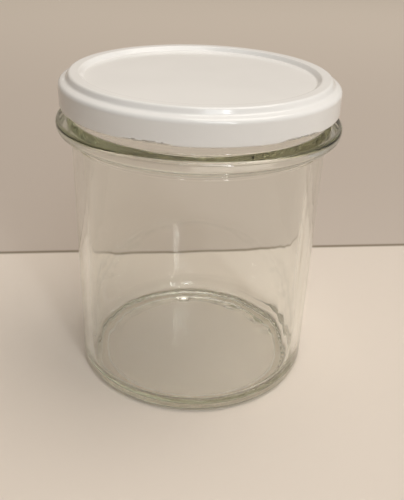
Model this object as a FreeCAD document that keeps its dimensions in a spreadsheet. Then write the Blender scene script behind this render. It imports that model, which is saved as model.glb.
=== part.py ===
import FreeCAD, Part
import math
import os
import Sketcher

# A straight-sided preserving jar of pressed clear glass, closed by a steel twist-off lid.
# The jar stands on the plane z = 0 with its axis along Z.  Every part is a turned form, so
# each one starts as half a section in the XZ plane: across is the distance from the axis,
# up is the height above the table.  All lengths are millimetres, all angles degrees.

# Sizes that are set by themselves.
SIZES = [
    # glass jar: outside
    ("glass_height", 97.8, "table to the top of the lip"),
    ("body_radius", 39.4, "outside of the body right under the bead"),
    ("body_taper", 0.7, "how much narrower the body is at its foot"),
    ("heel_rounding", 1.2, "rounding between the body and the table"),
    ("neck_setout", 0.2, "how far the neck stands outside the body radius"),
    ("lip_rounding", 0.8, "rounding of both edges of the lip"),
    # transfer bead: the thick ring under the lid
    ("rim_clearance", 2.9, "bottom of the lid down to the root of the bead"),
    ("bead_reach", 4.45, "how far the bead stands outside the body radius"),
    ("bead_slope", 0.4, "fall of the bead's top face from the neck to its edge"),
    ("bead_side", 2.6, "height of the bead's upright side"),
    ("bead_drop", 4.2, "height of the slanting underside"),
    ("bead_root_rounding", 0.3, "hollow between the neck and the bead"),
    ("bead_top_rounding", 1.6, "upper edge of the bead"),
    ("bead_low_rounding", 2.0, "lower edge of the bead"),
    ("bead_foot_rounding", 0.9, "hollow between the bead and the body"),
    # glass jar: underside and inside
    ("bearing_width", 7.7, "heel's outer edge to the inner edge of the standing ring"),
    ("push_up_step", 0.6, "step up at the inner edge of the standing ring"),
    ("push_up_height", 1.2, "rise of the underside at its middle"),
    ("push_up_run", 4.5, "width of the sloping step"),
    ("middle_flat", 14.0, "radius at which underside and floor start to fall away"),
    ("middle_rounding", 150.0, "easy curve between the middle and the slope round it"),
    ("floor_thickness", 2.2, "glass at the middle of the floor"),
    ("floor_fall", 1.0, "fall of the floor from its middle to its corner"),
    ("foot_wall", 3.0, "wall at the foot of the body"),
    ("neck_wall", 3.3, "wall at the neck"),
    ("corner_rounding", 6.0, "rounding between the floor and the wall"),
    # lid: pressed from thin steel sheet
    ("gauge", 0.25, "thickness of the lacquered sheet"),
    ("lid_height", 9.7, "top of the lid down to the bottom of its rolled edge"),
    ("thread_height", 1.4, "room that the thread on the neck takes"),
    ("thread_clearance", 1.05, "room between the thread and the skirt"),
    ("panel_sink", 1.4, "how deep the flat panel lies under the top"),
    ("panel_wall_run", 1.3, "width of the slope round the panel"),
    ("channel_play", 0.1, "how far the channel reaches inside the bore"),
    ("crest_width", 3.1, "width of the flat top over the lip"),
    ("saddle_run", 0.95, "width of the steep slope outside the top"),
    ("saddle_drop", 1.7, "fall of that slope"),
    ("shoulder_drop", 2.6, "top of the lid down to the corner of the shoulder"),
    ("panel_rounding", 0.8, "hollow between the panel and its wall"),
    ("crest_inner_rounding", 0.8, "inner edge of the top"),
    ("crest_outer_rounding", 1.0, "outer edge of the top"),
    ("saddle_rounding", 1.2, "hollow between the slope and the shoulder"),
    ("shoulder_rounding", 1.5, "edge between the shoulder and the skirt"),
    # lid: rolled edge and the lugs pressed out of it
    ("curl_radius", 0.6, "outside radius of the rolled edge"),
    ("curl_opening", 90.0, "part of the turn that the roll leaves open"),
    ("lug_count", 6, "lugs round the rim"),
    ("lug_sweep", 18.0, "angle that one lug takes up"),
    ("lug_heading", 11.0, "heading of the first lug from the X axis"),
    ("lug_lift", 0.1, "bottom of the roll up to the bottom of a lug"),
    ("lug_thickness", 0.8, "thickness of a flattened lug"),
    ("lug_clearance", 0.35, "room between a lug and the neck"),
    ("lug_nose", 0.3, "rounding of a lug's inner edge"),
    ("lug_dent", 0.8, "height of the flat that the press leaves outside a lug"),
    # sealing ring cast into the lid's channel
    ("seal_thickness", 0.95, "sealing compound between the lip and the lid"),
    ("seal_inset", 0.25, "room between the compound and the channel's edges"),
    ("seal_bevel", 0.45, "bevel of the compound's upper edges"),
]

# Places worked out from those sizes.
PLACES = [
    ("foot_radius", "=Sizes.body_radius - Sizes.body_taper"),
    ("neck_radius", "=Sizes.body_radius + Sizes.neck_setout"),
    ("bead_radius", "=Sizes.body_radius + Sizes.bead_reach"),
    ("lid_underside", "=Sizes.glass_height + Sizes.seal_thickness"),
    ("lid_top", "=lid_underside + Sizes.gauge"),
    ("rim_bottom", "=lid_top - Sizes.lid_height"),
    ("bead_root", "=rim_bottom - Sizes.rim_clearance"),
    ("bead_top", "=bead_root - Sizes.bead_slope"),
    ("bead_bottom", "=bead_top - Sizes.bead_side"),
    ("bead_foot", "=bead_bottom - Sizes.bead_drop"),
    ("bearing_inner", "=foot_radius - Sizes.bearing_width"),
    ("push_up_edge", "=bearing_inner - Sizes.push_up_run"),
    ("floor_middle", "=Sizes.push_up_height + Sizes.floor_thickness"),
    ("floor_corner", "=floor_middle - Sizes.floor_fall"),
    ("foot_bore", "=foot_radius - Sizes.foot_wall"),
    ("mouth_bore", "=neck_radius - Sizes.neck_wall"),
    ("skirt_radius", "=neck_radius + Sizes.thread_height + Sizes.thread_clearance + Sizes.gauge"),
    ("crest_inner", "=mouth_bore - Sizes.channel_play"),
    ("crest_outer", "=crest_inner + Sizes.crest_width"),
    ("panel_radius", "=crest_inner - Sizes.panel_wall_run"),
    ("panel_level", "=lid_top - Sizes.panel_sink"),
    ("saddle_radius", "=crest_outer + Sizes.saddle_run"),
    ("saddle_level", "=lid_top - Sizes.saddle_drop"),
    ("shoulder_level", "=lid_top - Sizes.shoulder_drop"),
    ("curl_level", "=rim_bottom + Sizes.curl_radius"),
    ("curl_middle", "=skirt_radius - Sizes.curl_radius"),
    ("curl_bore", "=Sizes.curl_radius - Sizes.gauge"),
    ("lug_tip", "=neck_radius + Sizes.lug_clearance"),
    ("lug_bottom", "=rim_bottom + Sizes.lug_lift"),
    ("lug_top", "=lug_bottom + Sizes.lug_thickness"),
    ("dent_top", "=rim_bottom + Sizes.lug_dent"),
    ("dent_inner", "=skirt_radius - Sizes.lug_dent"),
    ("dent_outer", "=skirt_radius + Sizes.gauge"),
    ("dent_low", "=rim_bottom - Sizes.gauge"),
    ("seal_inner", "=crest_inner + Sizes.seal_inset"),
    ("seal_outer", "=crest_outer - Sizes.seal_inset"),
]

FULL_TURN = 360


def fill_sheet(doc, name, rows):
    """Write one row for each alias: its name, its content and, where given, its meaning."""
    sheet = doc.addObject("Spreadsheet::Sheet", name)
    for number, (alias, content, *meaning) in enumerate(rows, start=1):
        sheet.set(f"A{number}", alias)
        sheet.set(f"B{number}", str(content))
        sheet.setAlias(f"B{number}", alias)
        if meaning:
            sheet.set(f"C{number}", meaning[0])
    doc.recompute()
    return sheet


class Values:
    """Looks a name up in the sheets, as a number or as the text of an expression."""

    def __init__(self, *sheets):
        self.owner = {}
        for sheet in sheets:
            for alias in sheet.getUsedCells():
                if sheet.getAlias(alias):
                    self.owner[sheet.getAlias(alias)] = sheet

    def number(self, name):
        return float(self.owner[name].get(name)) if name else 0.0

    def cell(self, name):
        return f"{self.owner[name].Name}.{name}"


def origin_item(body, role):
    """The plane or axis of the body's own origin that has this role."""
    return next(item for item in body.Origin.OriginFeatures if item.Role == role)


def plane_sketch(body, name, role):
    """An empty sketch that lies in one of the body's own origin planes."""
    sketch = body.newObject("Sketcher::SketchObject", name)
    sketch.AttachmentSupport = [(origin_item(body, role), "")]
    sketch.MapMode = "FlatFace"
    return sketch


def bind(sketch, constraint, label, values, name):
    """Add a dimension, name it and tie it to a cell."""
    index = sketch.addConstraint(constraint)
    sketch.renameConstraint(index, label)
    sketch.setExpression(f"Constraints.{label}", values.cell(name))


def place_corner(sketch, reference, label, corner, values):
    """Hold a point at the corner's place; a missing name means that it lies on the axis."""
    across, up = corner[:2]
    geometry, end = reference
    if across:
        reach = Sketcher.Constraint("DistanceX", -1, 1, geometry, end, values.number(across))
        bind(sketch, reach, f"across_{label}", values, across)
    else:
        sketch.addConstraint(Sketcher.Constraint("PointOnObject", geometry, end, -2))
    if up:
        rise = Sketcher.Constraint("DistanceY", -1, 1, geometry, end, values.number(up))
        bind(sketch, rise, f"up_{label}", values, up)
    else:
        sketch.addConstraint(Sketcher.Constraint("PointOnObject", geometry, end, -1))


def rounding_arc(corner, before, after, radius, spread):
    """The arc that rounds a corner, and which of its ends the outline meets first."""
    centre = corner + (before + after).normalize() * (radius / math.sin(spread))
    trim = radius / math.tan(spread)
    entry = corner + before * trim - centre
    leave = corner + after * trim - centre
    turns_left = before.cross(after).z < 0
    start, end = (entry, leave) if turns_left else (leave, entry)
    circle = Part.Circle(centre, FreeCAD.Vector(0, 0, 1), radius)
    first = math.atan2(start.y, start.x)
    last = math.atan2(end.y, end.x)
    return Part.ArcOfCircle(circle, first, last), (1, 2) if turns_left else (2, 1)


def section_sketch(body, name, corners, values):
    """Closed outline in the XZ plane through corners of across, up and rounding.

    All three are names of cells.  No across means on the Z axis, no up means on the table,
    and no rounding leaves the corner sharp.  A rounded corner keeps its point, at which the
    two sides would meet, and an arc tangent to both sides.
    """
    sketch = plane_sketch(body, name, "XZ_Plane")
    count = len(corners)
    points = [FreeCAD.Vector(values.number(c[0]), values.number(c[1]), 0) for c in corners]
    radii = [values.number(c[2]) for c in corners]
    befores = [(points[i - 1] - points[i]).normalize() for i in range(count)]
    afters = [(points[(i + 1) % count] - points[i]).normalize() for i in range(count)]
    spreads = [befores[i].getAngle(afters[i]) / 2 for i in range(count)]
    trims = [radii[i] / math.tan(spreads[i]) for i in range(count)]
    for i in range(count):
        start = points[i] + afters[i] * trims[i]
        follower = (i + 1) % count
        end = points[follower] + befores[follower] * trims[follower]
        sketch.addGeometry(Part.LineSegment(start, end), False)
    for i in range(count):
        side_in = (i - 1) % count
        side_out = i
        if radii[i]:
            arc, (entry, leave) = rounding_arc(
                points[i], befores[i], afters[i], radii[i], spreads[i])
            bend = sketch.addGeometry(arc, False)
            mark = sketch.addGeometry(Part.Point(points[i]), True)
            sketch.addConstraint([
                Sketcher.Constraint("Tangent", side_in, 2, bend, entry),
                Sketcher.Constraint("Tangent", bend, leave, side_out, 1),
                Sketcher.Constraint("PointOnObject", mark, 1, side_in),
                Sketcher.Constraint("PointOnObject", mark, 1, side_out),
            ])
            radius = Sketcher.Constraint("Radius", bend, radii[i])
            bind(sketch, radius, f"rounding_{i}", values, corners[i][2])
            reference = (mark, 1)
        else:
            sketch.addConstraint(Sketcher.Constraint("Coincident", side_in, 2, side_out, 1))
            reference = (side_out, 1)
        place_corner(sketch, reference, i, corners[i], values)
    return sketch


def turn(body, kind, name, sketch):
    """Revolve or groove a section round the Z axis, through a full turn."""
    feature = body.newObject(f"PartDesign::{kind}", name)
    feature.Profile = sketch
    feature.ReferenceAxis = (sketch, ["V_Axis"])
    feature.Angle = FULL_TURN
    return feature


def part_turn(body, kind, name, sketch, values, sweep):
    """Revolve or groove a section to both sides of its plane, through the named angle."""
    feature = turn(body, kind, name, sketch)
    feature.Midplane = True
    feature.setExpression("Angle", values.cell(sweep))
    return feature


def repeat_round(body, name, feature, values, count):
    """Repeat a feature evenly round the Z axis."""
    pattern = body.newObject("PartDesign::PolarPattern", name)
    pattern.Originals = [feature]
    pattern.Axis = (origin_item(body, "Z_Axis"), [""])
    pattern.Angle = FULL_TURN
    pattern.setExpression("Occurrences", values.cell(count))
    body.Tip = pattern
    return pattern


def make_jar(doc, values):
    """The glass: underside, tapered body, bead, neck, lip, bore and floor in one section."""
    body = doc.addObject("PartDesign::Body", "Jar")
    body.Label = "jar"
    section = section_sketch(body, "GlassSection", [
        (None, "push_up_height", None),
        ("middle_flat", "push_up_height", "middle_rounding"),
        ("push_up_edge", "push_up_step", None),
        ("bearing_inner", None, None),
        ("foot_radius", None, "heel_rounding"),
        ("body_radius", "bead_foot", "bead_foot_rounding"),
        ("bead_radius", "bead_bottom", "bead_low_rounding"),
        ("bead_radius", "bead_top", "bead_top_rounding"),
        ("neck_radius", "bead_root", "bead_root_rounding"),
        ("neck_radius", "glass_height", "lip_rounding"),
        ("mouth_bore", "glass_height", "lip_rounding"),
        ("foot_bore", "floor_corner", "corner_rounding"),
        ("middle_flat", "floor_middle", "middle_rounding"),
        (None, "floor_middle", None),
    ], values)
    turn(body, "Revolution", "Glass", section)
    return body


def lowest_face(shape):
    """Name of the flat face that lies lowest."""
    flats = [
        (face.CenterOfMass.z, f"Face{number}")
        for number, face in enumerate(shape.Faces, start=1)
        if isinstance(face.Surface, Part.Plane)
    ]
    return min(flats)[1]


def curl_sketch(body, values):
    """The rolled edge: a band of sheet that runs on from the skirt, down and round."""
    sketch = plane_sketch(body, "CurlSection", "XZ_Plane")
    centre = FreeCAD.Vector(values.number("curl_middle"), values.number("curl_level"), 0)
    opening = math.radians(values.number("curl_opening"))
    arcs = []
    for name in ("curl_radius", "curl_bore"):
        circle = Part.Circle(centre, FreeCAD.Vector(0, 0, 1), values.number(name))
        arc = sketch.addGeometry(Part.ArcOfCircle(circle, opening, 2 * math.pi), False)
        bind(sketch, Sketcher.Constraint("Radius", arc, values.number(name)), name, values, name)
        arcs.append(arc)
    outer, bore = arcs
    ends = []
    for end, angle in ((1, opening), (2, 0.0)):
        ray = FreeCAD.Vector(math.cos(angle), math.sin(angle), 0)
        near = centre + ray * values.number("curl_bore")
        far = centre + ray * values.number("curl_radius")
        line = sketch.addGeometry(Part.LineSegment(near, far), False)
        sketch.addConstraint([
            Sketcher.Constraint("Coincident", line, 1, bore, end),
            Sketcher.Constraint("Coincident", line, 2, outer, end),
            Sketcher.Constraint("PointOnObject", outer, 3, line),
        ])
        ends.append(line)
    free_end, skirt_end = ends
    sketch.addConstraint([
        Sketcher.Constraint("Coincident", bore, 3, outer, 3),
        Sketcher.Constraint("Horizontal", skirt_end),
    ])
    spread = Sketcher.Constraint("Angle", skirt_end, 1, free_end, 1, opening)
    bind(sketch, spread, "opening", values, "curl_opening")
    place_corner(sketch, (outer, 3), "centre", ("curl_middle", "curl_level"), values)
    return sketch


def make_lid(doc, values):
    """The lid: pressed cap, hollowed to the sheet's gauge, with its rolled edge and lugs."""
    body = doc.addObject("PartDesign::Body", "Lid")
    body.Label = "lid"
    body.Placement.Rotation = FreeCAD.Rotation(
        FreeCAD.Vector(0, 0, 1), values.number("lug_heading"))
    body.setExpression("Placement.Rotation.Angle", values.cell("lug_heading"))

    section = section_sketch(body, "CapSection", [
        (None, "panel_level", None),
        ("panel_radius", "panel_level", "panel_rounding"),
        ("crest_inner", "lid_top", "crest_inner_rounding"),
        ("crest_outer", "lid_top", "crest_outer_rounding"),
        ("saddle_radius", "saddle_level", "saddle_rounding"),
        ("skirt_radius", "shoulder_level", "shoulder_rounding"),
        ("skirt_radius", "curl_level", None),
        (None, "curl_level", None),
    ], values)
    cap = turn(body, "Revolution", "Cap", section)
    doc.recompute()

    shell = body.newObject("PartDesign::Thickness", "Sheet")
    shell.Base = (cap, [lowest_face(cap.Shape)])
    shell.Reversed = True
    shell.Join = 1
    shell.setExpression("Value", values.cell("gauge"))
    doc.recompute()

    turn(body, "Revolution", "Curl", curl_sketch(body, values))

    lug_section = section_sketch(body, "LugSection", [
        ("lug_tip", "lug_bottom", "lug_nose"),
        ("curl_middle", "lug_bottom", None),
        ("curl_middle", "lug_top", None),
        ("lug_tip", "lug_top", "lug_nose"),
    ], values)
    lug = part_turn(body, "Revolution", "Lug", lug_section, values, "lug_sweep")
    doc.recompute()
    repeat_round(body, "Lugs", lug, values, "lug_count")
    doc.recompute()

    dent_section = section_sketch(body, "DentSection", [
        ("dent_outer", "dent_low", None),
        ("dent_outer", "dent_top", None),
        ("dent_inner", "dent_low", None),
    ], values)
    dent = part_turn(body, "Groove", "Dent", dent_section, values, "lug_sweep")
    doc.recompute()
    repeat_round(body, "Dents", dent, values, "lug_count")
    return body


def make_seal(doc, values):
    """The ring of sealing compound that fills the channel between the lip and the lid."""
    body = doc.addObject("PartDesign::Body", "Seal")
    body.Label = "lid_seal"
    section = section_sketch(body, "SealSection", [
        ("seal_inner", "glass_height", None),
        ("seal_outer", "glass_height", None),
        ("seal_outer", "lid_underside", "seal_bevel"),
        ("seal_inner", "lid_underside", "seal_bevel"),
    ], values)
    turn(body, "Revolution", "Compound", section)
    return body


def check(doc, bodies):
    """Stop if an object failed or a sub-part has no valid solid."""
    for item in doc.Objects:
        if {"Invalid", "Error"} & set(item.State):
            raise RuntimeError(f"{item.Name} failed: {item.State}")
    for body in bodies:
        if body.Shape.isNull() or not body.Shape.isValid() or not body.Shape.Solids:
            raise RuntimeError(f"{body.Label} has no valid shape")


def main():
    doc = FreeCAD.newDocument("GlassJar")
    sizes = fill_sheet(doc, "Sizes", SIZES)
    places = fill_sheet(doc, "Places", PLACES)
    values = Values(sizes, places)
    bodies = [make_jar(doc, values), make_lid(doc, values), make_seal(doc, values)]
    doc.recompute()
    check(doc, bodies)
    os.makedirs("parts", exist_ok=True)
    for body in bodies:
        body.Shape.exportStep(f"parts/{body.Label}.step")
        print(body.Label, "solids", len(body.Shape.Solids), "volume", round(body.Shape.Volume, 1))


main()
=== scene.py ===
import logging
import math
from dataclasses import dataclass
from typing import Any, Mapping, Sequence, Union

import bpy
import numpy as np
from mathutils import Matrix, Vector


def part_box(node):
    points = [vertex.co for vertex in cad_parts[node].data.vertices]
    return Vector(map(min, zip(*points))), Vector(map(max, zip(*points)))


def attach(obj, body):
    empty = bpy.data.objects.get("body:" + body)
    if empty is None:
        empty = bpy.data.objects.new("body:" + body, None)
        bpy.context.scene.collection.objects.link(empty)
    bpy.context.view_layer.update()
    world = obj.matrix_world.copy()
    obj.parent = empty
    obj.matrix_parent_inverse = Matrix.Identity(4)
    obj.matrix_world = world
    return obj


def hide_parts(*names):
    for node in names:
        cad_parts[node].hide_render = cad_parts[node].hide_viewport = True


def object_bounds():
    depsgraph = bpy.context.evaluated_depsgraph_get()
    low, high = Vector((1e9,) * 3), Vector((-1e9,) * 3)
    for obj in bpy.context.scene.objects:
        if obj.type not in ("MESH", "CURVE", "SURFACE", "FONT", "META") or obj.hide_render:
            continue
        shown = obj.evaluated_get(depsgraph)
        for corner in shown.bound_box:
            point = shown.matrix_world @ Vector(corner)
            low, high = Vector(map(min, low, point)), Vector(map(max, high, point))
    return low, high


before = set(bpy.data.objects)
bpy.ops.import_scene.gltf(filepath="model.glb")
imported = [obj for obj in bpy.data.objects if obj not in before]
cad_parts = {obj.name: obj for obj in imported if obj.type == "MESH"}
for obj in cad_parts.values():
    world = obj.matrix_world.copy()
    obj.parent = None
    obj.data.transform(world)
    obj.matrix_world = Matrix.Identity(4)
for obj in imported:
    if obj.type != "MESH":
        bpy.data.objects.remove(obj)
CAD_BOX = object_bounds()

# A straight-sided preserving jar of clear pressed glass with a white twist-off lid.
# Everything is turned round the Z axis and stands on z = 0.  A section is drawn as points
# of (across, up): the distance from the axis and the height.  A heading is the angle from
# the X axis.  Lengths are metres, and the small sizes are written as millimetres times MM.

Colour = tuple[float, float, float, float]
Span = tuple[float, float]
Value = Union[float, Sequence[float], "Signal"]

MM = 0.001
TURN = 2.0 * math.pi
LOG = logging.getLogger("jar")

# A straight run longer than LONG_RUN has one more station EDGE from each of its ends.
EDGE = 0.15 * MM
LONG_RUN = 6 * EDGE

# The lid's lugs, and with them the starts of the thread that they hook under.
LUG_COUNT = 6
LUG_HEADING = math.radians(11.0)


# ---------------------------------------------------------------- shapes


@dataclass(frozen=True)
class Corner:
    """A corner of a section.

    The point at which two straight runs would meet, the radius that rounds it and the
    distance between points on the run that follows it.
    """

    across: float
    up: float
    rounding: float = 0.0
    spacing: float = 2.5 * MM


def smooth_step(low: float, high: float, value: np.ndarray) -> np.ndarray:
    """Rises from 0 at low to 1 at high by 3 t^2 - 2 t^3, and is level outside."""
    t = np.clip((value - low) / (high - low), 0.0, 1.0)
    return t * t * (3.0 - 2.0 * t)


def ridge(distance: np.ndarray, half_width: float) -> np.ndarray:
    """A rounded ridge (1 - t^2)^2, where t is the distance over the half width."""
    t = np.clip(np.abs(distance) / half_width, 0.0, 1.0)
    return (1.0 - t * t) ** 2


def wrapped(angle: np.ndarray, period: float = TURN) -> np.ndarray:
    """The angle less whole periods, between minus and plus half a period."""
    return (angle + period / 2.0) % period - period / 2.0


def arc_points(
    centre: np.ndarray, radius: float, first: float, last: float, step: float
) -> np.ndarray:
    """Points on a circular arc, evenly spread from the first angle to the last.

    Args:
        centre: The middle of the arc as (across, up).
        radius: The radius.
        first: The angle of the first point.
        last: The angle of the last point.
        step: The largest angle between two points.

    Returns:
        An array of n by 2.
    """
    count = max(2, math.ceil(abs(last - first) / step) + 1)
    angle = np.linspace(first, last, count)
    return centre + radius * np.stack([np.cos(angle), np.sin(angle)], axis=1)


def corner_arc(points: np.ndarray, radius: float, step: float) -> np.ndarray:
    """The arc that rounds a corner and touches both of its runs.

    Its centre lies on the corner's bisector, radius / sin(half angle) away, and it touches
    the runs radius / tan(half angle) from the corner.

    Args:
        points: The corner before, the corner to round and the corner after it.
        radius: The arc's radius.
        step: The largest angle between two points of the arc.

    Returns:
        An array of n by 2.
    """
    here = points[1]
    before = points[0] - here
    after = points[2] - here
    before /= np.linalg.norm(before)
    after /= np.linalg.norm(after)
    half = math.acos(float(np.clip(before @ after, -1.0, 1.0))) / 2.0
    bisector = (before + after) / np.linalg.norm(before + after)
    centre = here + bisector * radius / math.sin(half)
    trim = radius / math.tan(half)
    entry, leave = here + before * trim - centre, here + after * trim - centre
    first = math.atan2(entry[1], entry[0])
    last = first + float(wrapped(np.array(math.atan2(leave[1], leave[0]) - first)))
    return arc_points(centre, radius, first, last, step)


def trace(corners: Sequence[Corner], step: float) -> np.ndarray:
    """Follows a chain of corners and rounds each one that has a rounding.

    Straight runs between the arcs are divided evenly, no wider than the corner's spacing,
    and a long run has one more station close to each end, which keeps the smooth shading
    of the arcs to the arcs.  The counts of the even stations follow the corners alone, so
    that sections that differ only in roundings have matching stations.

    Args:
        corners: The corners in order.
        step: The largest angle between two points of an arc.

    Returns:
        The section's stations as an array of n by 2, with no point twice in a row.
    """
    points = np.array([(corner.across, corner.up) for corner in corners])
    pieces = [points[:1]]
    for index in range(1, len(corners)):
        rounding = corners[index].rounding
        arc = points[index : index + 1]
        if rounding and index < len(corners) - 1:
            arc = corner_arc(points[index - 1 : index + 2], rounding, step)
        start = pieces[-1][-1]
        run = float(np.linalg.norm(arc[0] - start))
        whole = float(np.linalg.norm(points[index] - points[index - 1]))
        count = max(1, math.ceil(whole / corners[index - 1].spacing))
        share = np.linspace(0, 1, count + 1)[1:]
        if run > LONG_RUN:
            share = np.sort(np.concatenate([share, [EDGE / run, 1 - EDGE / run]]))
        straight = start + (arc[0] - start) * share[:, None]
        pieces.append(np.concatenate([straight, arc[1:]]))
    return np.concatenate(pieces)


def outward(section: np.ndarray) -> np.ndarray:
    """Unit normals of a section that runs anticlockwise: its tangent turned right.

    Args:
        section: The stations.

    Returns:
        One normal for each station, as (across, up).
    """
    tangent = np.gradient(section, axis=0)
    tangent /= np.linalg.norm(tangent, axis=1, keepdims=True)
    return np.stack([tangent[:, 1], -tangent[:, 0]], axis=1)


def linked_object(name: str, data: bpy.types.ID) -> bpy.types.Object:
    """Makes an object and puts it into the scene.

    Args:
        name: The object's name.
        data: Its mesh, light or camera.

    Returns:
        The new object, at the origin.
    """
    made = bpy.data.objects.new(name, data)
    bpy.context.scene.collection.objects.link(made)
    return made


def turned_object(
    name: str, across: np.ndarray, up: np.ndarray, heading: np.ndarray
) -> bpy.types.Object:
    """Makes a smooth closed mesh from a section that may change with the heading.

    The point at station i and heading j is (across cos h, across sin h, up).  The first
    and the last station lie on the axis, where the mesh is closed by fans of triangles.

    Args:
        name: The object's name.
        across: Distances from the axis, stations by headings.
        up: Heights, stations by headings.
        heading: The headings in rising order, without the first one repeated.

    Returns:
        The new object, at the origin, with its faces outward.
    """
    stations, columns = across.shape
    points = np.stack([across * np.cos(heading), across * np.sin(heading), up], axis=2)
    index = np.arange(stations * columns).reshape(stations, columns)
    index[0] = index[0, 0]
    index[-1] = index[-1, 0]
    here, there = index[:-1], index[1:]
    quads = np.stack(
        [here, np.roll(here, -1, axis=1), np.roll(there, -1, axis=1), there], axis=2
    ).reshape(-1, 4)
    fan_low, fan_high = quads[:, 0] == quads[:, 1], quads[:, 2] == quads[:, 3]
    used, compact = np.unique(quads, return_inverse=True)
    quads = compact.reshape(quads.shape)
    faces = quads[~fan_low & ~fan_high].tolist()
    faces += quads[fan_low][:, [0, 2, 3]].tolist()
    faces += quads[fan_high][:, [0, 1, 2]].tolist()
    mesh = bpy.data.meshes.new(name)
    mesh.from_pydata(points.reshape(-1, 3)[used].tolist(), [], faces)
    mesh.shade_smooth()
    return linked_object(name, mesh)


# ---------------------------------------------------------------- finishes


class Signal:
    """A shader socket used as a number in Python expressions."""

    def __init__(self, shader: "Shader", socket: bpy.types.NodeSocket) -> None:
        """Wraps an output socket of a shader's tree."""
        self.shader = shader
        self.socket = socket

    def sibling(self, name: str) -> "Signal":
        """Another output of the same node."""
        return Signal(self.shader, self.socket.node.outputs[name])

    def _math(self, operation: str, first: Value, second: Value) -> "Signal":
        """Adds one Math node."""
        return self.shader.node(
            "ShaderNodeMath", {"operation": operation}, {0: first, 1: second}
        )

    def __add__(self, other: Value) -> "Signal":
        """Self plus other."""
        return self._math("ADD", self, other)

    __radd__ = __add__

    def __sub__(self, other: Value) -> "Signal":
        """Self minus other."""
        return self._math("SUBTRACT", self, other)

    def __rsub__(self, other: Value) -> "Signal":
        """Other minus self."""
        return self._math("SUBTRACT", other, self)

    def __mul__(self, other: Value) -> "Signal":
        """Self times other."""
        return self._math("MULTIPLY", self, other)

    __rmul__ = __mul__

    def ramp(self, low: float, high: float) -> "Signal":
        """Rises smoothly from 0 where the number is low to 1 where it is high."""
        return self.shader.node(
            "ShaderNodeMapRange",
            {"interpolation_type": "SMOOTHSTEP"},
            {"Value": self, "From Min": low, "From Max": high},
        )


class Shader:
    """The node tree of a material or a world."""

    def __init__(self, tree: bpy.types.NodeTree, output_kind: str) -> None:
        """Empties the tree and adds its output node.

        Args:
            tree: The tree.
            output_kind: The output node's type.
        """
        self.tree = tree
        tree.nodes.clear()
        self.output = tree.nodes.new(output_kind)

    @classmethod
    def for_material(cls, name: str) -> tuple["Shader", bpy.types.Material]:
        """Makes a new material.

        Args:
            name: The material's name.

        Returns:
            The shader that holds its nodes, and the material.
        """
        material = bpy.data.materials.new(name)
        material.use_nodes = True
        return cls(material.node_tree, "ShaderNodeOutputMaterial"), material

    def _set(self, node: bpy.types.Node, key: int | str, value: Value) -> None:
        """Links or fills one input of a node.

        Args:
            node: The node.
            key: The input's number, or its name among the inputs that are in use.
            value: A signal to link, or a number, colour or vector to store.
        """
        if isinstance(key, int):
            socket = node.inputs[key]
        else:
            socket = next(s for s in node.inputs if s.enabled and s.name == key)
        if isinstance(value, Signal):
            self.tree.links.new(value.socket, socket)
        else:
            socket.default_value = value

    def node(
        self,
        kind: str,
        settings: Mapping[str, Any] | None = None,
        sockets: Mapping[int | str, Value] | None = None,
        output: str | None = None,
    ) -> Signal:
        """Adds any node.

        Args:
            kind: The node's type.
            settings: Its own settings, set first.
            sockets: The values or links of its inputs.
            output: The name of the output to return, or None for the first in use.

        Returns:
            The output as a signal.
        """
        made = self.tree.nodes.new(kind)
        for key, value in (settings or {}).items():
            setattr(made, key, value)
        for key, value in (sockets or {}).items():
            self._set(made, key, value)
        live = [s for s in made.outputs if s.enabled and output in (None, s.name)]
        return Signal(self, live[0])

    def place(self) -> Signal:
        """The point on the piece, in its object's own metres."""
        return self.node("ShaderNodeTexCoord", output="Object")

    def split(self, vector: Signal) -> tuple[Signal, Signal, Signal]:
        """The X, Y and Z of a vector."""
        first = self.node("ShaderNodeSeparateXYZ", None, {"Vector": vector})
        return first, first.sibling("Y"), first.sibling("Z")

    def noise(
        self, place: Signal, per_metre: float, detail: float, stretch: float = 1.0
    ) -> Signal:
        """Cloudy noise from 0 to 1.

        Args:
            place: Where it is read.
            per_metre: How many clouds a metre holds.
            detail: How many finer layers are added.
            stretch: How much longer the clouds are along Z than across it.

        Returns:
            The noise as a signal.
        """
        squeezed = self.node(
            "ShaderNodeVectorMath",
            {"operation": "MULTIPLY"},
            {0: place, 1: (1.0, 1.0, 1.0 / stretch)},
        )
        return self.node(
            "ShaderNodeTexNoise",
            {"normalize": True},
            {"Vector": squeezed, "Scale": per_metre, "Detail": detail},
        )

    def mix(self, factor: Value, first: Value, second: Value) -> Signal:
        """The first colour where the factor is 0, the second where it is 1."""
        return self.node(
            "ShaderNodeMix",
            {"data_type": "RGBA"},
            {"Factor": factor, "A": first, "B": second},
        )

    def bump(self, height: Signal, distance: float) -> Signal:
        """The surface's normal, tilted by a height field that is distance metres high."""
        return self.node(
            "ShaderNodeBump",
            None,
            {"Strength": 1.0, "Distance": distance, "Height": height},
        )

    def principled(self, sockets: Mapping[str, Value]) -> Signal:
        """A Principled BSDF with these values and links."""
        return self.node("ShaderNodeBsdfPrincipled", None, sockets)

    def finish(self, surface: Signal, volume: Signal | None = None) -> None:
        """Joins shaders to the tree's output.

        Args:
            surface: The shader of the surface or the background.
            volume: What fills the inside, or None for nothing.
        """
        self.tree.links.new(surface.socket, self.output.inputs["Surface"])
        if volume:
            self.tree.links.new(volume.socket, self.output.inputs["Volume"])


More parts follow.
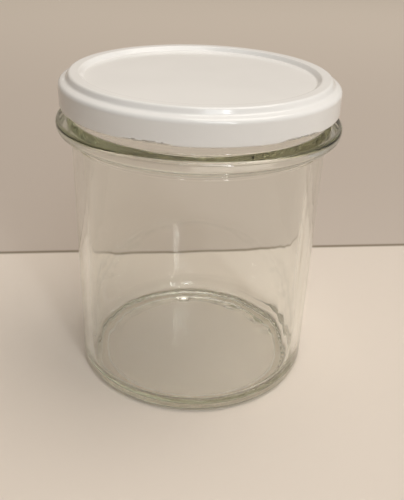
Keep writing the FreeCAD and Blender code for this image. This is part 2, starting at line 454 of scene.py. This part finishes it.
@dataclass(frozen=True)
class ClearGlass:
    """Fire-polished soda-lime glass whose olive tint shows only where it is thick."""

    refraction: float = 1.52
    surface: Colour = (0.985, 0.99, 0.985, 1.0)
    depth_colour: Colour = (0.71, 0.735, 0.53, 1.0)
    depth_density: float = 15.5
    foot_roughness: float = 0.35
    foot_fade: Span = (0.02 * MM, 0.3 * MM)
    chill_height: float = 0.012 * MM
    chills_per_metre: float = 70.0
    chill_layers: float = 1.0
    chill_stretch: float = 2.5

    def material(self) -> bpy.types.Material:
        """Makes the glass: a clear dielectric with chill marks and a tinted inside.

        Returns:
            The material.
        """
        shader, material = Shader.for_material("clear_glass")
        place = shader.place()
        chills = shader.noise(
            place, self.chills_per_metre, self.chill_layers, self.chill_stretch
        )
        height = shader.split(place)[2]
        worn = 1 - height.ramp(*self.foot_fade)
        surface = shader.principled({
            "Base Color": self.surface,
            "Roughness": worn * self.foot_roughness,
            "IOR": self.refraction,
            "Transmission Weight": 1.0,
            "Normal": shader.bump(chills, self.chill_height),
        })
        inside = shader.node(
            "ShaderNodeVolumeAbsorption",
            None,
            {"Color": self.depth_colour, "Density": self.depth_density},
        )
        shader.finish(surface, inside)
        return material


@dataclass(frozen=True)
class WhiteEnamel:
    """White stoving enamel on thin sheet, semi-gloss, with a faint orange peel."""

    colour: Colour = (0.805, 0.79, 0.765, 1.0)
    worn: Colour = (0.765, 0.75, 0.725, 1.0)
    wear_per_metre: float = 30.0
    wear_layers: float = 3.0
    wear_fade: Span = (0.3, 0.8)
    roughness: float = 0.15
    refraction: float = 1.5
    peel_height: float = 0.004 * MM
    peel_per_metre: float = 1400.0
    peel_layers: float = 1.0

    def material(self) -> bpy.types.Material:
        """Makes the enamel: near-white, a little uneven in tone.

        Returns:
            The material.
        """
        shader, material = Shader.for_material("white_enamel")
        place = shader.place()
        wear = shader.noise(place, self.wear_per_metre, self.wear_layers)
        peel = shader.noise(place, self.peel_per_metre, self.peel_layers)
        surface = shader.principled({
            "Base Color": shader.mix(wear.ramp(*self.wear_fade), self.colour, self.worn),
            "Roughness": self.roughness,
            "IOR": self.refraction,
            "Normal": shader.bump(peel, self.peel_height),
        })
        shader.finish(surface)
        return material


@dataclass(frozen=True)
class SealingCompound:
    """Off-white sealing compound, matt, poured as a paste and baked."""

    colour: Colour = (0.74, 0.72, 0.67, 1.0)
    pore_colour: Colour = (0.62, 0.60, 0.55, 1.0)
    pores_per_metre: float = 2200.0
    pore_layers: float = 3.0
    pore_fade: Span = (0.45, 0.8)
    pore_depth: float = 0.02 * MM
    roughness: float = 0.6
    pore_roughness: float = 0.15

    def material(self) -> bpy.types.Material:
        """Makes the compound: matt, finely pored.

        Returns:
            The material.
        """
        shader, material = Shader.for_material("sealing_compound")
        pores = shader.noise(shader.place(), self.pores_per_metre, self.pore_layers)
        tone = shader.mix(pores.ramp(*self.pore_fade), self.colour, self.pore_colour)
        surface = shader.principled({
            "Base Color": tone,
            "Roughness": self.roughness + pores * self.pore_roughness,
            "Normal": shader.bump(pores, self.pore_depth),
        })
        shader.finish(surface)
        return material


# ---------------------------------------------------------------- the jar


@dataclass(frozen=True)
class Wave:
    """A wave round the jar, whose crests may lean as they rise.

    It has its height, the number of its crests, the angle that it starts with and the
    rise in which that angle grows by one radian.
    """

    height: float
    crests: int
    start: float
    lean: float = math.inf

    def offset(self, heading: np.ndarray, up: np.ndarray) -> np.ndarray:
        """Height times the cosine of (crests times heading + start + up / lean)."""
        return self.height * np.cos(self.crests * heading + self.start + up / self.lean)


@dataclass(frozen=True)
class NeckThread:
    """The interrupted thread on the neck, one start for each lug of the lid."""

    height: float = 1.4 * MM
    half_width: float = 1.0 * MM
    low: float = 91.5 * MM
    rise: float = 3.2 * MM
    sweep: float = math.radians(66.0)
    lead: float = math.radians(14.0)
    run_in: Span = (0.0, 0.1)
    run_out: Span = (0.86, 1.0)
    margin: float = 0.05 * MM

    def relief(self, section: np.ndarray, heading: np.ndarray, neck: float) -> np.ndarray:
        """Height of the thread off the neck.

        Each start is a ridge whose middle climbs evenly with the heading and whose ends
        run out smoothly.  Where two starts pass each other the higher one counts.

        Args:
            section: The stations.
            heading: The headings.
            neck: The neck's radius.

        Returns:
            The height, stations by headings.
        """
        across, up = section[:, 0], section[:, 1]
        tallest = np.zeros((len(up), len(heading)))
        outside = (across > neck - self.margin)[:, None]
        pitch = TURN / LUG_COUNT
        for start in range(LUG_COUNT):
            first = LUG_HEADING + start * pitch - self.lead
            along = (wrapped(heading - first - self.sweep / 2) / self.sweep) + 0.5
            ends = smooth_step(*self.run_in, along) * (1 - smooth_step(*self.run_out, along))
            middle = self.low + self.rise * np.clip(along, 0, 1)
            crest = ridge(up[:, None] - middle[None, :], self.half_width)
            tallest = np.maximum(tallest, crest * ends[None, :])
        return self.height * tallest * outside


@dataclass(frozen=True)
class RingStipple:
    """The row of small round dots in the standing ring, worn on one side."""

    count: int = 72
    size: float = 1.4 * MM
    height: float = 0.25 * MM
    heading: float = math.radians(-50.0)
    inset: float = 4.0 * MM
    dot_edge: Span = (0.35, 1.0)
    ring_edge: Span = (0.75 * MM, 1.2 * MM)
    foot_level: float = 0.02 * MM
    worn_share: float = 0.3
    fresh_share: float = 0.7
    fresh_side: Span = (0.1, 0.7)
    columns_per_dot: int = 4
    crowding: float = 0.45

    def columns(self) -> np.ndarray:
        """Headings that crowd towards each dot: h - k sin(n h) / n.

        Returns:
            The headings in rising order.
        """
        count = self.count * self.columns_per_dot
        even = np.arange(count) * TURN / count
        return even - self.crowding * np.sin(self.count * even) / self.count

    def lift(self, section: np.ndarray, heading: np.ndarray, foot: float) -> np.ndarray:
        """Lift of the standing ring between its dots.

        The ring is 1 near its middle line and falls off to both sides, and a dot is 1 near
        its middle and falls off all round.  The lift is ring times (1 - dot), lower on the
        worn side.

        Args:
            section: The stations.
            heading: The headings.
            foot: The body's radius at the foot.

        Returns:
            The lift, stations by headings.
        """
        middle = foot - self.inset
        off_ring = section[:, 0][:, None] - middle
        off_dot = wrapped(heading, TURN / self.count)[None, :] * middle
        off = np.hypot(off_ring, off_dot) / (self.size / 2)
        dots = 1 - smooth_step(*self.dot_edge, off)
        low = (section[:, 1] < self.foot_level)[:, None]
        ring = low * (1 - smooth_step(*self.ring_edge, np.abs(off_ring)))
        side = smooth_step(*self.fresh_side, np.cos(heading - self.heading))
        fresh = self.worn_share + self.fresh_share * side
        return self.height * ring * (1 - dots) * fresh[None, :]


@dataclass(frozen=True)
class MouldLines:
    """Lines that the parts of the mould leave on the outside.

    A ring lies where the neck ring meets the body mould, and two upright seams lie on
    opposite sides where the halves of the body mould meet.
    """

    ring_level: float = 79.4 * MM
    ring_half_width: float = 0.22 * MM
    ring_height: float = 0.1 * MM
    seam_heading: float = math.radians(-25.0)
    seam_half_width: float = 0.4 * MM
    seam_height: float = 0.025 * MM
    seam_fade: Span = (2 * MM, 5 * MM)

    def relief(self, section: np.ndarray, heading: np.ndarray, radius: float) -> np.ndarray:
        """Height of the lines.

        Args:
            section: The stations.
            heading: The headings.
            radius: The jar's largest radius.

        Returns:
            The height, stations by headings.
        """
        up = section[:, 1]
        outside = np.arange(len(section)) < int(np.argmax(section[:, 0]))
        ring = self.ring_height * ridge(up - self.ring_level, self.ring_half_width)
        off = wrapped(heading - self.seam_heading, TURN / 2) * radius
        span = smooth_step(*self.seam_fade, up)
        seams = self.seam_height * span[:, None] * ridge(off, self.seam_half_width)[None, :]
        return outside[:, None] * (ring[:, None] + seams)


@dataclass(frozen=True)
class InnerRipples:
    """Unevenness of the inner wall, which no mould touches.

    Long waves round the wall, which fade at the floor and at the neck, and shorter ones in
    the corner of the floor, which are higher where that corner is rounder.  The first few
    stations past the mouth stay as they are.
    """

    wall_waves: tuple[Wave, ...] = (
        Wave(0.10 * MM, 2, 0.7),
        Wave(0.07 * MM, 3, -1.1, 40 * MM),
        Wave(0.035 * MM, 7, 0.0, 25 * MM),
        Wave(0.018 * MM, 13, 2.0, -18 * MM),
        Wave(0.012 * MM, 23, 0.4, 11 * MM),
    )
    corner_waves: tuple[Wave, ...] = (
        Wave(0.08 * MM, 11, 0.3),
        Wave(0.08 * MM, 17, 1.9),
        Wave(0.05 * MM, 26, -0.6),
    )
    floor_fade: float = 14 * MM
    neck_fade: Span = (-22 * MM, -8 * MM)
    corner_half_height: float = 6 * MM
    corner_fade: Span = (27 * MM, 31 * MM)
    tight_share: float = 0.4
    wide_share: float = 1.4
    mouth_stations: int = 8

    def offset(
        self, section: np.ndarray, heading: np.ndarray, floor: float, wide: np.ndarray
    ) -> np.ndarray:
        """Offset of the inner wall along its normal.

        Args:
            section: The stations.
            heading: The headings.
            floor: The level of the floor.
            wide: How far each heading has the wide rounding of the floor's corner.

        Returns:
            The offset, stations by headings.
        """
        up = section[:, 1][:, None]
        around = heading[None, :]
        mouth = int(np.argmax(up)) + self.mouth_stations
        inside = (np.arange(len(section)) > mouth)[:, None]
        low = smooth_step(floor, floor + self.floor_fade, up)
        wall = low * (1 - smooth_step(*self.neck_fade, up - up.max()))
        waves = sum(wave.offset(around, up) for wave in self.wall_waves)
        far_out = smooth_step(*self.corner_fade, section[:, 0])[:, None]
        bend = ridge(up - floor, self.corner_half_height) * far_out
        knots = sum(wave.offset(around, up) for wave in self.corner_waves)
        knots = (self.tight_share + self.wide_share * wide[None, :]) * knots
        return inside * (wall * waves + bend * knots)


@dataclass(frozen=True)
class GlassStations:
    """How far apart the glass has its stations, closer where it bends light the most.

    The arc's value is the largest angle between two stations of a rounding.
    """

    push_up: float = 0.5 * MM
    ring: float = 0.24 * MM
    wall: float = 3.2 * MM
    mould_ring: float = 0.1 * MM
    bead_foot: float = 0.12 * MM
    bead: float = 0.5 * MM
    thread: float = 0.42 * MM
    lip: float = 0.7 * MM
    arc: float = math.radians(9.0)


@dataclass
class GlassJar:
    """The glass, in one turned section with its thread, stipple and mould lines."""

    high: Vector
    lid_rim: float
    rim_clearance: float = 2.7 * MM
    bead_reach: float = 4.45 * MM
    bead_slope: float = 0.9 * MM
    bead_side: float = 3.0 * MM
    bead_drop: float = 2.5 * MM
    bead_foot_rounding: float = 0.6 * MM
    bead_low_rounding: float = 2.3 * MM
    bead_top_rounding: float = 1.4 * MM
    root_rounding: float = 0.3 * MM
    mould_ring_drop: float = 1.4 * MM
    body_taper: float = 0.7 * MM
    neck_setout: float = 0.2 * MM
    neck_wall: float = 3.3 * MM
    lip_rounding: float = 0.8 * MM
    foot_wall: float = 3.0 * MM
    heel_rounding: float = 2.9 * MM
    bearing_width: float = 7.7 * MM
    bearing_rounding: float = 0.3 * MM
    push_up_run: float = 4.5 * MM
    push_up_step: float = 0.6 * MM
    push_up_height: float = 1.2 * MM
    push_up_rounding: float = 0.5 * MM
    middle_flat: float = 14.0 * MM
    middle_rounding: float = 150 * MM
    floor_thickness: float = 2.2 * MM
    floor_fall: float = 1.0 * MM
    corner_tight: float = 3.0 * MM
    corner_wide: float = 7.5 * MM
    wide_heading: float = math.radians(40.0)
    wide_side: Span = (-0.5, 1.0)
    stations: GlassStations = GlassStations()
    thread: NeckThread = NeckThread()
    stipple: RingStipple = RingStipple()
    mould_lines: MouldLines = MouldLines()
    ripples: InnerRipples = InnerRipples()

    @property
    def body(self) -> float:
        """The body's radius under the bead."""
        return self.high.x - self.bead_reach

    @property
    def foot(self) -> float:
        """The body's radius at the foot."""
        return self.body - self.body_taper

    @property
    def neck(self) -> float:
        """The neck's radius."""
        return self.body + self.neck_setout

    @property
    def floor(self) -> float:
        """The level of the middle of the floor."""
        return self.push_up_height + self.floor_thickness

    def section(self, corner_rounding: float) -> np.ndarray:
        """Half a section, from the middle of the underside round to the middle of the floor.

        Args:
            corner_rounding: How round the inside is where the wall meets the floor.

        Returns:
            The stations as (across, up).
        """
        top, bead = self.high.z, self.high.x
        root = self.lid_rim - self.rim_clearance
        bead_top = root - self.bead_slope
        bead_low = bead_top - self.bead_side
        bead_foot = bead_low - self.bead_drop
        ringed = bead_foot - self.mould_ring_drop
        ringed_across = self.foot + self.body_taper * ringed / bead_foot
        ring_in = self.foot - self.bearing_width
        push_up_edge = ring_in - self.push_up_run
        mouth = self.neck - self.neck_wall
        inner_foot = self.foot - self.foot_wall
        gap = self.stations
        corners = [
            Corner(0.0, self.push_up_height),
            Corner(self.middle_flat, self.push_up_height, self.middle_rounding),
            Corner(push_up_edge, self.push_up_step, self.push_up_rounding, gap.push_up),
            Corner(ring_in, 0.0, self.bearing_rounding, gap.ring),
            Corner(self.foot, 0.0, self.heel_rounding, gap.wall),
            Corner(ringed_across, ringed, 0.0, gap.mould_ring),
            Corner(self.body, bead_foot, self.bead_foot_rounding, gap.bead_foot),
            Corner(bead, bead_low, self.bead_low_rounding, gap.bead),
            Corner(bead, bead_top, self.bead_top_rounding, gap.bead),
            Corner(self.neck, root, self.root_rounding, gap.thread),
            Corner(self.neck, top, self.lip_rounding, gap.lip),
            Corner(mouth, top, self.lip_rounding, gap.wall),
            Corner(inner_foot, self.floor - self.floor_fall, corner_rounding),
            Corner(self.middle_flat, self.floor, self.middle_rounding),
            Corner(0.0, self.floor),
        ]
        return trace(corners, gap.arc)

    def build(self) -> bpy.types.Object:
        """Makes the glass and gives it its finish.

        The corner of the floor passes from tight to wide and back by a smooth weight of
        the heading.  Each station is moved along its own outward normal by the thread, the
        ripples and the mould lines, and upwards by the stipple.

        Returns:
            The glass.
        """
        section, loose = self.section(self.corner_tight), self.section(self.corner_wide)
        heading = self.stipple.columns()
        wide = smooth_step(*self.wide_side, np.cos(heading - self.wide_heading))
        offset = self.thread.relief(section, heading, self.neck)
        offset += self.ripples.offset(section, heading, self.floor, wide)
        offset += self.mould_lines.relief(section, heading, self.high.x)
        place = section[:, :, None] * (1 - wide) + loose[:, :, None] * wide
        place += outward(section)[:, :, None] * offset[:, None, :]
        place[:, 1] += self.stipple.lift(section, heading, self.foot)
        place[[0, -1]] = section[[0, -1], :, None]
        glass = turned_object("jar_glass", place[:, 0], place[:, 1], heading)
        glass.data.materials.append(ClearGlass().material())
        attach(glass, "root")
        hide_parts("jar")
        return glass


# ---------------------------------------------------------------- the lid


@dataclass
class TwistOffLid:
    """The pressed steel cap with its rolled edge and its lugs, and its sealing ring.

    Where the sheet bends, its inner line turns a little before or after its outer line.
    The slope lean, the bend lean and the end setback say how far, as shares of the inset.
    """

    low: Vector
    high: Vector
    gauge: float = 0.25 * MM
    panel_radius: float = 34.9 * MM
    panel_sink: float = 1.4 * MM
    panel_rounding: float = 0.8 * MM
    panel_wall_run: float = 1.3 * MM
    crest_width: float = 3.1 * MM
    crest_inner_rounding: float = 0.8 * MM
    crest_outer_rounding: float = 1.0 * MM
    saddle_run: float = 0.95 * MM
    saddle_drop: float = 1.7 * MM
    saddle_rounding: float = 1.2 * MM
    shoulder_drop: float = 2.6 * MM
    shoulder_rounding: float = 1.5 * MM
    slope_lean: float = 0.5
    skirt_radius: float = 42.5 * MM
    curl_radius: float = 0.6 * MM
    curl_opening: float = math.radians(90.0)
    lug_sweep: float = math.radians(18.0)
    lug_run_out: float = math.radians(2.6)
    lug_tip: float = 39.95 * MM
    lug_lift: float = 0.1 * MM
    lug_thickness: float = 0.8 * MM
    lug_dent: float = 0.8 * MM
    bend_lean: float = 0.4
    end_setback: float = 0.2
    panel_spacing: float = 2.0 * MM
    crest_spacing: float = 0.4 * MM
    saddle_spacing: float = 0.3 * MM
    shoulder_spacing: float = 0.6 * MM
    arc_step: float = math.radians(12.0)
    rim_stations: int = 26
    columns: int = 420

    def cap_corners(self, inset: float) -> list[Corner]:
        """Corners of the cap from the middle of the panel to the skirt.

        Args:
            inset: How far the line lies inside the outer surface.

        Returns:
            The corners, with the roundings made smaller or larger by the inset.
        """
        top = self.high.z - inset
        panel = self.high.z - self.panel_sink - inset
        saddle_level = self.high.z - self.saddle_drop - inset
        shoulder = self.high.z - self.shoulder_drop - inset
        inner = self.panel_radius + self.panel_wall_run
        outer = inner + self.crest_width
        saddle = outer + self.saddle_run
        skirt = self.skirt_radius - inset
        lean = inset * self.slope_lean
        gap = self.crest_spacing
        return [
            Corner(0.0, panel, 0.0, self.panel_spacing),
            Corner(self.panel_radius + lean, panel, self.panel_rounding + inset, gap),
            Corner(inner + lean, top, self.crest_inner_rounding - inset, gap),
            Corner(outer - lean, top, self.crest_outer_rounding - inset, gap),
            Corner(
                saddle - lean, saddle_level, self.saddle_rounding + inset, self.saddle_spacing
            ),
            Corner(skirt, shoulder, self.shoulder_rounding - inset, self.shoulder_spacing),
            Corner(skirt, self.low.z + self.curl_radius),
        ]

    def roll(self, inset: float) -> np.ndarray:
        """The rolled edge, a full turn less its opening round the middle of the roll.

        Args:
            inset: How far the line lies inside the outer surface.

        Returns:
            The stations as (across, up).
        """
        middle = np.array([self.skirt_radius - self.curl_radius, self.low.z + self.curl_radius])
        angle = np.linspace(0.0, self.curl_opening - TURN, self.rim_stations)
        turn = np.stack([np.cos(angle), np.sin(angle)], axis=1)
        return middle + (self.curl_radius - inset) * turn

    def lug(self, inset: float) -> np.ndarray:
        """The same stretch of sheet as the roll, pressed flat into a lug.

        It runs down the dent, in along the bottom, round its nose and back over the top,
        and its stations are evenly spread along that path.

        Args:
            inset: How far the line lies inside the outer surface.

        Returns:
            The stations as (across, up).
        """
        bottom = self.low.z + self.lug_lift + inset
        crown = self.low.z + self.lug_lift + self.lug_thickness - inset
        nose = (crown - bottom) / 2
        skirt = self.skirt_radius - inset
        tip = self.lug_tip + inset
        lean = inset * self.bend_lean
        around = arc_points(
            np.array([tip + nose, bottom + nose]), nose, -TURN / 4, -3 * TURN / 4, TURN / 16
        )
        dent = np.array([
            (skirt, self.low.z + self.lug_dent + lean),
            (skirt - self.lug_dent + self.lug_lift + lean, bottom),
        ])
        back = self.skirt_radius - self.curl_radius - inset * self.end_setback
        path = np.concatenate([dent, around, [(back, crown)]])
        length = np.concatenate([[0.0], np.cumsum(np.linalg.norm(np.diff(path, axis=0), axis=1))])
        even = np.linspace(0.0, length[-1], self.rim_stations)
        return np.stack([np.interp(even, length, path[:, k]) for k in (0, 1)], axis=1)

    def build(self) -> bpy.types.Object:
        """Makes the cap as one closed sheet.

        The outer line goes from the middle of the panel over the shoulder, down the skirt
        and round the rim, and the inner line comes back.  In the rim the stations pass
        from roll to lug by a smooth weight of the heading.

        Returns:
            The cap.
        """
        heading = np.arange(self.columns) * TURN / self.columns
        off = np.abs(wrapped(heading - LUG_HEADING, TURN / LUG_COUNT))
        half = self.lug_sweep / 2
        weight = 1 - smooth_step(half - self.lug_run_out, half + self.lug_run_out, off)
        sheets = []
        for inset in (0.0, self.gauge):
            cap = trace(self.cap_corners(inset), self.arc_step)[:-1]
            level = np.repeat(cap[:, :, None], self.columns, axis=2)
            roll, lug = self.roll(inset)[:, :, None], self.lug(inset)[:, :, None]
            sheets.append(np.concatenate([level, roll * (1 - weight) + lug * weight]))
        line = np.concatenate([sheets[0], sheets[1][::-1]])[::-1]
        cap = turned_object("lid_cap", line[:, 0], line[:, 1], heading)
        cap.data.materials.append(WhiteEnamel().material())
        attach(cap, "root")
        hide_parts("lid")
        return cap

    def dress_seal(self) -> bpy.types.Object:
        """Gives the sealing ring, which keeps its own shape, its finish.

        Returns:
            The ring.
        """
        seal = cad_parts["lid_seal"]
        material = SealingCompound().material()
        for slot in seal.material_slots:
            slot.material = material
        return seal


# ---------------------------------------------------------------- the studio


@dataclass(frozen=True)
class Lamp:
    """A soft rectangular lamp that faces the jar.

    Its heading is counted from the front, positive to the right, and its colour and
    power are those of the whole panel.
    """

    name: str
    heading: float
    elevation: float
    distance: float
    width: float
    height: float
    watts: float
    colour: tuple[float, float, float]

    def build(self, aim: Vector) -> bpy.types.Object:
        """Hangs the lamp and turns it to the point that it lights.

        Args:
            aim: The point.

        Returns:
            The lamp.
        """
        light = bpy.data.lights.new(self.name, "AREA")
        light.shape = "RECTANGLE"
        light.size, light.size_y = self.width, self.height
        light.energy = self.watts
        light.color = self.colour
        way = Vector((
            math.sin(self.heading) * math.cos(self.elevation),
            -math.cos(self.heading) * math.cos(self.elevation),
            math.sin(self.elevation),
        ))
        lamp = linked_object(self.name, light)
        lamp.location = aim + way * self.distance
        lamp.rotation_euler = way.to_track_quat("Z", "Y").to_euler()
        return lamp


@dataclass(frozen=True)
class PaleBoards:
    """Two matt boards, lighter in front and darker behind, that meet in a thin line of painted
    shadow; far behind, painted light makes the rear board lighter again.
    """

    reach: float = 6.0
    seam_distance: float = 0.074
    seam_slope: float = 0.115
    seam_shadow_width: float = 0.0022
    seam_shadow_colour: Colour = (0.22, 0.18, 0.13, 1.0)
    join_half_width: float = 0.4 * MM
    front_colour: Colour = (0.69, 0.615, 0.54, 1.0)
    back_colour: Colour = (0.49, 0.425, 0.37, 1.0)
    far_painted_light_colour: Colour = (0.72, 0.645, 0.56, 1.0)
    far_fade: Span = (0.05, 0.8)
    tone_colour: Colour = (0.62, 0.55, 0.47, 1.0)
    tone_share: float = 0.08
    tones_per_metre: float = 9.0
    tone_layers: float = 3.0
    roughness: float = 0.7
    shine: float = 0.25

    def material(self) -> bpy.types.Material:
        """Makes the boards' finish, with a thin line of painted shadow between them drawn at a
        slight slope, and painted light that makes the rear board lighter far behind.

        Returns:
            The material.
        """
        shader, material = Shader.for_material("pale_board")
        place = shader.place()
        side, back, _ = shader.split(place)
        behind = back - side * self.seam_slope - self.seam_distance
        # Painted shadow: a thin dark line along the join, the shade where the backdrop would
        # stand on the table.
        line = behind.ramp(-self.seam_shadow_width, 0.0) * (1 - behind.ramp(0.0, self.seam_shadow_width))
        # Painted light: far behind, the rear board turns lighter, making up for the lamps' light
        # that falls off with distance.
        rear_with_painted_light = shader.mix(behind.ramp(*self.far_fade), self.back_colour, self.far_painted_light_colour)
        join = behind.ramp(-self.join_half_width, self.join_half_width)
        board = shader.mix(join, self.front_colour, rear_with_painted_light)
        tone = shader.noise(place, self.tones_per_metre, self.tone_layers)
        board = shader.mix(tone * self.tone_share, board, self.tone_colour)
        surface = shader.principled({
            # The dark seam colour laid over the boards here is painted shadow.
            "Base Color": shader.mix(line, board, self.seam_shadow_colour),
            "Roughness": self.roughness,
            "Specular IOR Level": self.shine,
        })
        shader.finish(surface)
        return material

    def build(self, level: float) -> bpy.types.Object:
        """Lays the boards.

        Args:
            level: The height on which the jar stands.

        Returns:
            The boards in one piece.
        """
        reach = self.reach
        corners = [(-reach, -reach), (reach, -reach), (reach, reach), (-reach, reach)]
        mesh = bpy.data.meshes.new("floor")
        mesh.from_pydata([(x, y, level) for x, y in corners], [], [(0, 1, 2, 3)])
        mesh.materials.append(self.material())
        floor = linked_object("floor", mesh)
        return floor


@dataclass(frozen=True)
class Room:
    """The room, painted by direction: dark in front, lighter behind and to the right.

    The edge of the pale ceiling is counted by the height plus the lean times the way to
    the right, so the ceiling comes down lower on that side.
    """

    front_colour: Colour = (0.04, 0.038, 0.036, 1.0)
    back_colour: Colour = (0.42, 0.36, 0.30, 1.0)
    back_fade: Span = (-0.3, 0.6)
    right_colour: Colour = (0.30, 0.29, 0.28, 1.0)
    right_fade: Span = (0.0, 0.95)
    ceiling_colour: Colour = (0.6, 0.56, 0.52, 1.0)
    ceiling_fade: Span = (0.6, 1.0)
    ceiling_lean: float = 0.5

    def build(self) -> bpy.types.World:
        """Paints the room.

        Returns:
            The world.
        """
        world = bpy.data.worlds.new("room")
        bpy.context.scene.world = world
        world.use_nodes = True
        shader = Shader(world.node_tree, "ShaderNodeOutputWorld")
        way = shader.node("ShaderNodeTexCoord", output="Generated")
        right, back, up = shader.split(way)
        high = up + right * self.ceiling_lean
        wall = shader.mix(back.ramp(*self.back_fade), self.front_colour, self.back_colour)
        wall = shader.mix(right.ramp(*self.right_fade), wall, self.right_colour)
        paint = shader.mix(high.ramp(*self.ceiling_fade), wall, self.ceiling_colour)
        background = shader.node(
            "ShaderNodeBackground", None, {"Color": paint, "Strength": 1.0}
        )
        shader.finish(background)
        return world


@dataclass(frozen=True)
class ViewCamera:
    """The camera in front of the jar, a little above the lid, looking down at it."""

    distance: float = 0.21
    height: float = 0.148
    pitch: float = math.radians(27.6)
    yaw: float = math.radians(0.65)
    roll: float = math.radians(2.2)
    lens: float = 50.0
    sensor: float = 36.0
    clip: Span = (0.01, 50.0)

    def build(self) -> bpy.types.Object:
        """Places the camera.

        It looks along (sin yaw cos pitch, cos yaw cos pitch, -sin pitch), and its picture
        is turned by the roll about that line.

        Returns:
            The camera.
        """
        ahead = Vector((
            math.sin(self.yaw) * math.cos(self.pitch),
            math.cos(self.yaw) * math.cos(self.pitch),
            -math.sin(self.pitch),
        ))
        level = Vector((math.cos(self.yaw), -math.sin(self.yaw), 0.0))
        upright = level.cross(ahead)
        right = level * math.cos(self.roll) + upright * math.sin(self.roll)
        up = upright * math.cos(self.roll) - level * math.sin(self.roll)
        data = bpy.data.cameras.new("view")
        data.lens = self.lens
        data.sensor_width = self.sensor
        data.clip_start, data.clip_end = self.clip
        camera = linked_object("view", data)
        turn = Matrix((right, up, -ahead)).transposed().to_4x4()
        camera.matrix_world = Matrix.Translation((0.0, -self.distance, self.height)) @ turn
        bpy.context.scene.camera = camera
        return camera


@dataclass(frozen=True)
class Studio:
    """The boards that the jar stands on, the room round them and the soft lamps."""

    boards: PaleBoards = PaleBoards()
    room: Room = Room()
    lamps: tuple[Lamp, ...] = (
        Lamp(
            "window", heading=math.radians(16), elevation=math.radians(42), distance=1.1,
            width=0.36, height=0.55, watts=2.7, colour=(0.9, 0.96, 1.0),
        ),
        Lamp(
            "gap", heading=math.radians(25), elevation=math.radians(30), distance=1.1,
            width=0.07, height=0.7, watts=1.7, colour=(0.95, 0.98, 1.0),
        ),
        Lamp(
            "ceiling", heading=math.radians(95), elevation=math.radians(74), distance=1.5,
            width=1.2, height=1.2, watts=13.4, colour=(1.0, 0.94, 0.86),
        ),
    )

    def build(self) -> None:
        """Makes the floor, the room and the lamps."""
        self.boards.build(CAD_BOX[0].z)
        self.room.build()
        middle = (CAD_BOX[0] + CAD_BOX[1]) / 2
        for lamp in self.lamps:
            lamp.build(middle)


@dataclass(frozen=True)
class LightPaths:
    """How often light may turn, so that what runs inside the glass wall gets out again."""

    through_glass: int = 48
    off_gloss: int = 32
    off_matt: int = 6

    def apply(self) -> None:
        """Sets the counts and leaves the reflections unblurred."""
        cycles = bpy.context.scene.cycles
        cycles.max_bounces = self.through_glass
        cycles.transmission_bounces = self.through_glass
        cycles.glossy_bounces = self.off_gloss
        cycles.diffuse_bounces = self.off_matt
        cycles.blur_glossy = 0.0


def main() -> None:
    """Builds the camera, the studio, the glass and the lid in order."""
    logging.basicConfig(level=logging.INFO, format="%(name)s: %(message)s")
    bpy.context.scene.view_settings.view_transform = "Standard"
    LightPaths().apply()
    ViewCamera().build()
    Studio().build()
    lid = TwistOffLid(*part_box("lid"))
    jar = GlassJar(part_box("jar")[1], lid.low.z)
    for piece in (jar.build(), lid.build(), lid.dress_seal()):
        LOG.info("%s: %d faces", piece.name, len(piece.data.polygons))


if __name__ == "__main__":
    main()
